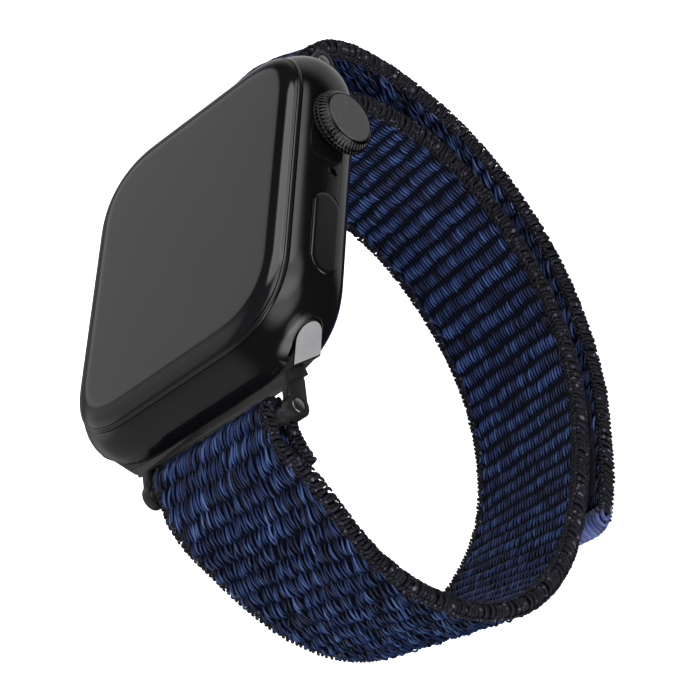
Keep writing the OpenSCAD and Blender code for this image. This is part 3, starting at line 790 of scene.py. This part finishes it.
def selvedge(name, start, end, side):
    """One edge: flecked yarn wrapped round it in small knots, and two rows of stitches on each face."""
    at = np.arange(start + 0.3, end - 0.3, 0.5)
    t = np.linspace(0, 1, 11)
    a = math.pi * (t - 0.5)
    knot = 0.16 * np.cos(2 * math.pi * at / KNOT_PITCH)[:, None]
    reach = 1.22 + knot + draw.normal(0, 0.03, (len(at), 1))
    x = STRAP_W / 2 - 1.55 + reach * np.cos(a) ** 0.8
    offset = (0.76 + 0.3 * knot) * np.sign(a) * np.abs(np.sin(a)) ** 0.8
    slant = 0.5 + draw.normal(0, 0.08, (len(at), 1))
    s = at[:, None] + draw.normal(0, 0.05, (len(at), 1)) + slant * (t - 0.5)
    wraps, normals = line.place(s, side * x, offset)
    out = normals * offset[..., None] + np.array([side, 0, 0]) * np.cos(a)[None, :, None]
    parts = [(wraps, out, np.full(wraps.shape[:2], 0.25), flecks(wraps.shape[:2]))]
    for face in (-1, 1):
        for column, height in ((9.25, 0.8), (9.7, 0.88)):
            marks = np.arange(start + 0.5, end - 0.5, 0.62) + draw.uniform(0, 0.6)
            u = (t - 0.5)[None]
            s = marks[:, None] + 0.6 * u + draw.normal(0, 0.05, (len(marks), 1))
            x = side * (column + 0.4 * u + draw.normal(0, 0.04, (len(marks), 1)))
            lift = face * (height + 0.14 * np.sin(math.pi * t)[None] + draw.normal(0, 0.03, (len(marks), 1)))
            p, n = line.place(s, x, lift)
            thick = 0.19 * (0.6 + 0.4 * np.sin(math.pi * t)) * np.ones((len(marks), 1))
            parts.append((p, n * face, thick, flecks(p.shape[:2])))
    paths, out, radius, tone = (np.concatenate([p[i] for p in parts]) for i in range(4))
    return strands(name, paths, out, radius, radius, np.clip(tone, 0, 0.95), material["edge"])


def flecks(shape):
    """The edge yarn's tones: dark, with short pale flecks."""
    fleck = draw.random(shape) < 0.22
    return 0.14 + draw.normal(0, 0.06, (shape[0], 1)) + fleck * draw.uniform(0.12, 0.45, shape)


def strap_stretches():
    """The strap up to the tail's bend, in three stretches with a name, a start and an end."""
    cuts = np.linspace(0, tail_s, 4)
    return [(f"strap_{i + 1}", a, b) for i, (a, b) in enumerate(zip(cuts, cuts[1:]))]


# ---- Build the hard pieces ----

def lathe_x(name, profile, mat, turns=96, relief=None):
    """A turned piece about the crown's axis, from (x, r) pairs; relief(i, angle) is taken off the radius."""
    rings = []
    for i, (x, r) in enumerate(profile):
        ring = []
        for a in np.linspace(0, 2 * math.pi, turns, endpoint=False):
            rr = r - (relief(i, a) if relief else 0)
            ring.append((x, CROWN_Y + rr * math.cos(a), CROWN_Z + rr * math.sin(a)))
        rings.append(ring)
    return solid(name, rings, mat)


def crown_pieces():
    """The crown: two knurled bands with a groove between them, and the satin cap in its face."""
    # distance out from the crown's foot, radius, and the share of a tooth's depth that is cut there
    foot = [(0, 3.15, 0), (0.06, 3.3, 0), (0.3, 3.6, 0), (0.42, 3.72, 0)]
    first_band = [(0.5, 3.8, 1), (0.72, 3.82, 1), (0.94, 3.8, 1)]
    groove = [(1.0, 3.7, 0.2), (1.06, 3.62, 0), (1.14, 3.62, 0), (1.2, 3.7, 0.2)]
    second_band = [(1.27, 3.76, 1), (1.5, 3.66, 1), (1.74, 3.5, 1), (1.86, 3.36, 0.7)]
    front = [(1.95, 3.25, 0), (2.08, 3.12, 0), (2.17, 2.99, 0)]
    recess = [(2.15, 2.93, 0), (1.8, 2.92, 0), (1.8, 0.4, 0)]
    rows = foot + first_band + groove + second_band + front + recess
    profile = [(CROWN_X + x, r) for x, r, _ in rows]

    def teeth(i, a):
        """The depth of the knurl at row i and angle a."""
        wave = 0.5 - 0.5 * math.cos(CROWN_TEETH * a)
        return 0.2 * rows[i][2] * float(smooth((wave - 0.35) / 0.4))

    knob = lathe_x("crown_rim", profile, material["crown"], CROWN_TEETH * 8, teeth)
    piece(knob, "crown", "crown_black", "crown_knob")
    top = CROWN_X + CROWN_T
    face = [(top - 0.38, 0.5), (top - 0.38, CAP_R - 0.02), (top - 0.08, CAP_R), (top - 0.02, 2.86),
            (top + 0.01, 2.78),
            (top + 0.02, 2.2), (top + 0.035, 1.2), (top + 0.04, 0.3)]
    cap = lathe_x("crown_face", face, material["cap"], 96)
    piece(cap, "crown", "crown_satin", "crown_cap")


def button_piece():
    """The side button: a pill with rounded edges, almost flush with the wall."""
    levels = [(-1.15, 0.05), (-1.1, 0), (-0.16, 0), (-0.06, 0.05), (-0.005, 0.16), (0.015, 0.3),
              (0.02, 0.55)]
    rings = []
    for out, inset in levels:
        shape = pill(BUTTON_LEN - 2 * inset, BUTTON_WIDE - 2 * inset)
        rings.append([(SIDE + out, BUTTON_Y + u, BUTTON_Z + v) for u, v in shape])
    button = solid("button_pill", rings, material["case"])
    piece(button, "side_button", "button_black", "side_button")


def glass_pieces():
    """The domed glass and the thin ring between it and the case."""
    foot = 0.55 / GLASS_RISE
    rings = [outline(dome_curve(foot) + 0.3, RIM_Z + 0.56), outline(dome_curve(foot) + 0.12, RIM_Z + 0.58)]
    angles = np.linspace(math.asin(foot) + 0.045, math.pi / 2, 26)
    rings += [outline(dome_curve(math.sin(a)), RIM_Z + GLASS_RISE * math.sin(a)) for a in angles]
    rings.append(outline(dome_curve(1) + 2.5, RIM_Z + GLASS_RISE))
    glass = solid("glass_dome", rings, material["glass"])
    piece(glass, "case", "cover_glass", "display_glass")
    rings = [outline(3.0, RIM_Z + 0.03), outline(1.95, RIM_Z + 0.03), outline(1.8, RIM_Z + 0.07)]
    rings += [outline(dome_curve(u), RIM_Z + GLASS_RISE * u) for u in np.linspace(0.09, 0.33, 7)]
    rings += [outline(dome_curve(0.36) + 0.06, RIM_Z + 0.51), outline(dome_curve(0.37) + 0.18, RIM_Z + 0.53),
              outline(3.0, RIM_Z + 0.53)]
    bezel = solid("bezel_band", rings, material["bezel"], wrap=True)
    piece(bezel, "case", "bezel", "bezel_ring")


def crystal_piece():
    """The dome on the back: a flat middle, and a quarter ellipse up to its rim."""
    profile = [(CRYSTAL_R, BACK_Z + COVER_T), (CRYSTAL_R, BACK_Z + 0.02)]
    wide = CRYSTAL_R - CRYSTAL_FLAT_R
    profile += [(CRYSTAL_FLAT_R + wide * math.sin(a), CRYSTAL_DROP * (1 - math.cos(a)))
                for a in np.linspace(math.pi / 2 * 0.96, 0, 24)]
    profile += [(2.5, 0), (0.3, 0)]
    rings = [[(r * u, r * v, z) for u, v in circle(1, 96)] for r, z in profile]
    dome = solid("crystal_dome", rings, material["crystal"])
    piece(dome, "case", "crystal", "sensor_crystal")


def slot_rims():
    """The soft rims of the band slots' round channels and of the microphone hole."""
    inner = [p for p in slot_profile() if abs(p[0]) < CASE_H / 2 - 0.75 and BACK_Z < p[1] < RIM_Z]
    channel = inner[:CHANNEL_STEPS]
    taper = 0.12 * np.sin(np.linspace(0.05, math.pi - 0.05, len(channel))) ** 0.4
    for end, tag in ((1, "lower"), (-1, "upper")):
        for side, hand in ((1, "right"), (-1, "left")):
            points = [(side * (shell_x(y, z) - 0.09), end * y, z) for y, z in channel]
            out = np.tile([float(side), -0.5 * end, 0.2], (len(points), 1))
            rim = bead(f"slot_rim_{tag}_{hand}", points, out, taper, material["case"])
            piece(rim, "case", "black_case")
    ring = circle(MIC_R + 0.02, 25)
    points = [(SIDE - 0.05, MIC_Y + u, MIC_Z + v) for u, v in ring + ring[:1]]
    rim = bead("mic_rim", points, np.tile([1.0, 0, 0], (len(points), 1)), 0.08, material["crown"])
    piece(rim, "case", "black_case")


def bar_rod(name, end):
    """The bar through the strap's fold, with domed ends."""
    half = 11.8
    dome = [(half + 0.22 * math.cos(a), 0.86 * math.sin(a)) for a in np.linspace(0.12, math.pi / 2, 8)]
    profile = [(-x, r) for x, r in dome] + [(-half + 0.1, 0.9), (half - 0.1, 0.9)] + dome[::-1]
    rings = [[(x, end * BAR_Y + r * u, BAR_Z + r * v) for u, v in circle(1, 32)] for x, r in profile]
    return solid(name, rings, material["steel"])


def connector_end(name, end, side):
    """A connector's polished end face, slanted to follow the case's corner, with a crease low down."""
    shape = np.array(slot_profile(PLUG_GAP, 2.0, SLOT_R - PLUG_GAP))
    middle = shape.mean(0)

    def face_x(y, z):
        """How far out the face is: less towards the case's end, and bent outwards below the crease."""
        return 15.65 + (y + SLOT_Y) + 0.15 * max(0.0, 4.3 - z)

    rings = []
    for share, back in ((1, 3.0), (1, 0.12), (0.95, 0), (0.8, 0), (0.6, 0), (0.4, 0), (0.2, 0), (0.04, 0)):
        ring = middle + (shape - middle) * share
        rings.append([(side * (face_x(y, z) - back), end * y, z) for y, z in ring])
    return solid(name, rings, material["connector"], 20)


def metal_pieces():
    """The connectors with their end faces, the bars and release buttons, and the rear cover."""
    for tag, end in (("lower", 1), ("upper", -1)):
        bar = from_node(f"connector_{tag}", f"connector_bar_{tag}", material["connector_dark"], 0.3, 4)
        for side, hand in ((1, "right"), (-1, "left")):
            piece(connector_end(f"connector_end_{tag}_{hand}", end, side), "band", "connector_black")
        piece(bar, "band", "connector_black", f"connector_{tag}")
        pad = from_node(f"release_button_{tag}", f"release_pad_{tag}", material["crown"], 0.12, 2)
        piece(pad, f"release_{tag}", "crown_black", f"release_button_{tag}")
        piece(bar_rod(f"bar_rod_{tag}", -end), "band", "steel", f"bar_pin_{tag}")
    plate = from_node("rear_cover", "rear_plate", material["cover"], 0.08, 2)
    piece(plate, "case", "black_case", "rear_cover")


# ---- Build the strap ----

def strap_pieces():
    """The strap and its tail: ground weave, pile, ribs and edges, then what is sewn on."""
    strap_core("strap_weave_core", 0, tail_s + 0.4, "weave_blue", "strap_ribbon")
    strap_core("tail_weave_core", tail_s, line.length - 0.5, "weave_blue", "strap_tail")
    for name, start, end in strap_stretches() + [("tail", tail_s, binding_s)]:
        on_strap(pile_rows(f"{name}_pile", start, end), "weave_blue")
        on_strap(rib_rows(f"{name}_ribs", start, end), "weave_blue")
    for side, hand in ((1, "right"), (-1, "left")):
        on_strap(selvedge(f"strap_edge_{hand}", 0, tail_s, side), "weave_blue")
        on_strap(selvedge(f"tail_edge_{hand}", tail_s, line.length - 1.7, side), "weave_blue")
    binding()
    hooks()
    stitches()


def binding():
    """The overlocked end: satin yarn whipped over the strap's cut edge, side by side."""
    x = np.arange(-9.9, 9.91, 0.46)
    corner = np.clip(np.abs(x) - 7.4, 0, WHIP_CORNER) / WHIP_CORNER
    back = 2 * (1 - np.sqrt(np.clip(1 - corner ** 2, 0, 1)))
    t = np.linspace(0, 1, 11)
    a = math.pi * (t - 0.5)
    jitter = draw.normal(0, 0.05, (len(x), 1))
    s = line.length - back[:, None] - WHIP_DEEP + (WHIP_DEEP + jitter) * np.cos(a) ** 0.55
    ends = np.sqrt(1 - (np.clip(np.abs(x) - 8.2, 0, None) / 1.9) ** 2)[:, None]
    offset = 1.08 * ends * np.sign(a) * np.abs(np.sin(a)) ** 0.5
    across = x[:, None] + 0.3 * (t - 0.5) + draw.normal(0, 0.03, (len(x), 1))
    paths, normals = line.place(s, across, offset)
    behind = line.place(s - 0.5, across, offset)[0]
    away = (paths - behind) * np.cos(a)[None, :, None] + normals * np.sin(a)[None, :, None]
    tone = np.clip(0.5 + draw.normal(0, 0.14, (len(x), 1)), 0, 0.95)
    thing = strands("tail_whipped_end", paths, away, 0.27, 0.22, tone, material["binding"], 6)
    on_strap(thing, "binding_blue", "tail_binding")


def hooks():
    """The hook tape under the tail: a thin backing with rows of small bent hooks."""
    start, end = hinge_s + 3.2, line.length - 4.0
    half = STRAP_W / 2 - 1.6
    rings = []
    for s in np.arange(start, end, 0.6):
        xs = np.array([-half, -half + 0.2, half - 0.2, half, half - 0.2, -half + 0.2])
        offsets = -np.array([1.2, 1.28, 1.28, 1.2, 1.0, 1.0])
        rings.append(line.place(s, xs, offsets)[0].tolist())
    tape = solid("tail_hook_backing", rings, material["hook"], 40)
    set_shade(tape.data, np.full(len(tape.data.vertices), 0.3))
    on_strap(tape, "hook_tape", "hook_patch")
    rows, cols = np.arange(start + 0.5, end - 0.3, 1.0), np.arange(-half + 0.5, half - 0.3, 0.8)
    s0, x0 = np.meshgrid(rows, cols, indexing="ij")
    s0, x0 = s0.ravel()[:, None], x0.ravel()[:, None]
    t = np.linspace(0, 1, 7)
    flip = np.where((np.arange(len(s0)) % 2)[:, None] == 0, 1, -1)
    bend = np.clip((t - 0.4) / 0.6, 0, 1) * math.pi * 0.8
    s = s0 + flip * 0.16 * (1 - np.cos(bend))
    lift = 1.2 + 0.22 * np.clip(t / 0.4, 0, 1) + 0.14 * np.sin(bend)
    paths = line.place(s, x0, -lift)[0]
    side = np.cross(np.gradient(paths, axis=1), np.array([1.0, 0, 0]))
    thing = strands("tail_hooks", paths, side, 0.08, 0.08, 0.6, material["hook"], 5)
    on_strap(thing, "hook_tape")


def stitches():
    """The seam that holds the lower fold down: a row of raised stitches on the inside of the strap."""
    low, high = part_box("fold_stitching")
    middle = (low + high) / 2 / MM
    at = line.nearest(middle.y, middle.z)
    x = np.arange(-8.4, 8.41, 2.1)[:, None]
    t = np.linspace(0, 1, 9)
    lift = 0.98 + 0.3 * np.sin(math.pi * t) ** 0.5
    paths, normals = line.place(at + 0.2 * (t - 0.5), x + 1.7 * (t - 0.5), lift)
    thing = strands("fold_seam", paths, normals, 0.2, 0.17, 0.5, material["sewing"], 6)
    piece(thing, "band", "thread_black", "fold_stitching")


# ---- CAD nodes that keep their own shape ----

def dress_cad_nodes():
    """The materials of the inner parts, whose CAD shapes are kept."""
    dressed = {
        "screen": "display_panel",
        "rubber": "display_seal rear_seal crown_seal side_button_seal",
        "board": "sensor_board main_board",
        "copper": "charging_coil",
        "cell": "battery",
        "can": "shield_can haptic_motor microphone",
        "module": "speaker crown_switch side_switch crown_plunger",
        "mesh": "speaker_mesh",
        "bush": "crown_bush",
        "steel": "crown_shaft crown_encoder latch_pin_lower latch_pin_upper",
    }
    for name, finish in [(name, finish) for finish, names in dressed.items() for name in names.split()]:
        thing = nodes[name]
        if thing.material_slots:
            thing.material_slots[0].material = material[finish]
        else:
            thing.data.materials.append(material[finish])


# ---- Floor, light and camera ----

def stage():
    """A white floor that stands out of the light and the reflections, so that it stays plain."""
    floor_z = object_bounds()[0].z / MM - 0.2
    size = 3000.0
    points = [(-size, -size, floor_z), (size, -size, floor_z), (size, size, floor_z), (-size, size, floor_z)]
    mat, _, shader = new_material("floor_white", Roughness=0.9, Emission_Strength=0.95)
    shader.inputs["Base Color"].default_value = (0.9, 0.9, 0.9, 1)
    shader.inputs["Emission Color"].default_value = (1, 1, 1, 1)
    shader.inputs["Specular IOR Level"].default_value = 0.0
    floor = add_mesh("floor", points, [(0, 1, 2, 3)], mat)
    floor.visible_glossy = floor.visible_diffuse = floor.visible_shadow = False
    floor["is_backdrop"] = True


def area_light(name, at, aim, size, power):
    """A round soft lamp that lights matt surfaces and isn't mirrored in glossy ones."""
    data = bpy.data.lights.new(name, "AREA")
    data.shape, data.size, data.energy = "DISK", size * MM, power
    lamp = show(name, data)
    lamp.location = Vector(at) * MM
    lamp.rotation_mode = "QUATERNION"
    lamp.rotation_quaternion = (Vector(aim) - Vector(at)).to_track_quat("-Z", "Y")
    lamp.visible_glossy = False


ROOM_GLOW = 0.02
SOFT_BOXES = [
    # direction, bright within and gone beyond these angles, strength
    ((-0.616, 0.684, 0.39), 9, 13, 0.55),
    ((-0.02, 0.59, 0.81), 11, 15.5, 2.1),
    ((0.35, 0.66, 0.67), 8, 16, 1.3),
    ((0.53, 0.31, 0.79), 16, 30, 1.5),
    ((0.61, -0.15, 0.78), 16, 34, 1.1),
    ((0.49, -0.38, 0.79), 10, 30, 0.6),
    ((-0.81, 0.14, 0.57), 18, 30, 0.42),
    ((-0.90, -0.35, 0.08), 26, 50, 0.38),
    ((-0.85, 0.50, -0.20), 25, 45, 0.16),
    ((0.02, 0.95, -0.30), 22, 46, 0.5),
    ((0.49, -0.79, -0.37), 19, 33, 3.2),
    ((0.67, -0.73, 0.08), 6, 20, 1.6),
]


def light():
    """A dim room with round soft patches of light at set directions, and two soft lamps for the cloth."""
    world = bpy.data.worlds.new("studio")
    bpy.context.scene.world = world
    world.use_nodes = True
    tree = world.node_tree
    back = tree.nodes["Background"]
    where = tree.nodes.new("ShaderNodeTexCoord")
    total = None
    for direction, inner, outer, strength in SOFT_BOXES:
        dot = tree.nodes.new("ShaderNodeVectorMath")
        dot.operation = "DOT_PRODUCT"
        dot.inputs[1].default_value = Vector(direction).normalized()
        tree.links.new(where.outputs["Generated"], dot.inputs[0])
        fade = tree.nodes.new("ShaderNodeMapRange")
        fade.interpolation_type = "SMOOTHSTEP"
        fade.inputs["From Min"].default_value = math.cos(math.radians(outer))
        fade.inputs["From Max"].default_value = math.cos(math.radians(inner))
        fade.inputs["To Max"].default_value = strength
        tree.links.new(dot.outputs["Value"], fade.inputs["Value"])
        add = tree.nodes.new("ShaderNodeMath")
        add.operation = "ADD"
        add.inputs[1].default_value = ROOM_GLOW
        tree.links.new(fade.outputs["Result"], add.inputs[0])
        if total is not None:
            tree.links.new(total, add.inputs[1])
        total = add.outputs[0]
    tree.links.new(total, back.inputs["Strength"])
    back.inputs["Color"].default_value = (1, 1, 1, 1)
    area_light("key", (-60, -420, 420), (0, 0, -15), 300, 2.0)
    area_light("fill", (330, -290, 80), (0, 0, -15), 260, 1.4)


def camera():
    """Looks at CAMERA_AIM from CAMERA_AWAY: so far round from the lower end, so far up, and rolled."""
    data = bpy.data.cameras.new("camera")
    data.lens, data.sensor_width = CAMERA_LENS, 36
    data.clip_start, data.clip_end = 0.01, 20
    cam = show("camera", data)
    place = Matrix.Translation(Vector(CAMERA_AIM) * MM)
    for degrees, axis in ((CAMERA_ROUND, "Z"), (90 - CAMERA_UP, "X"), (CAMERA_ROLL, "Z")):
        place = place @ Matrix.Rotation(math.radians(degrees), 4, axis)
    cam.matrix_world = place @ Matrix.Translation((0, 0, CAMERA_AWAY * MM))
    bpy.context.scene.camera = cam


piece(case_piece(), "case", "black_case", "case_body")
glass_pieces()
crystal_piece()
slot_rims()
crown_pieces()
button_piece()
metal_pieces()
strap_pieces()
dress_cad_nodes()
stage()
light()
camera()
bpy.context.scene.view_settings.view_transform = "Standard"
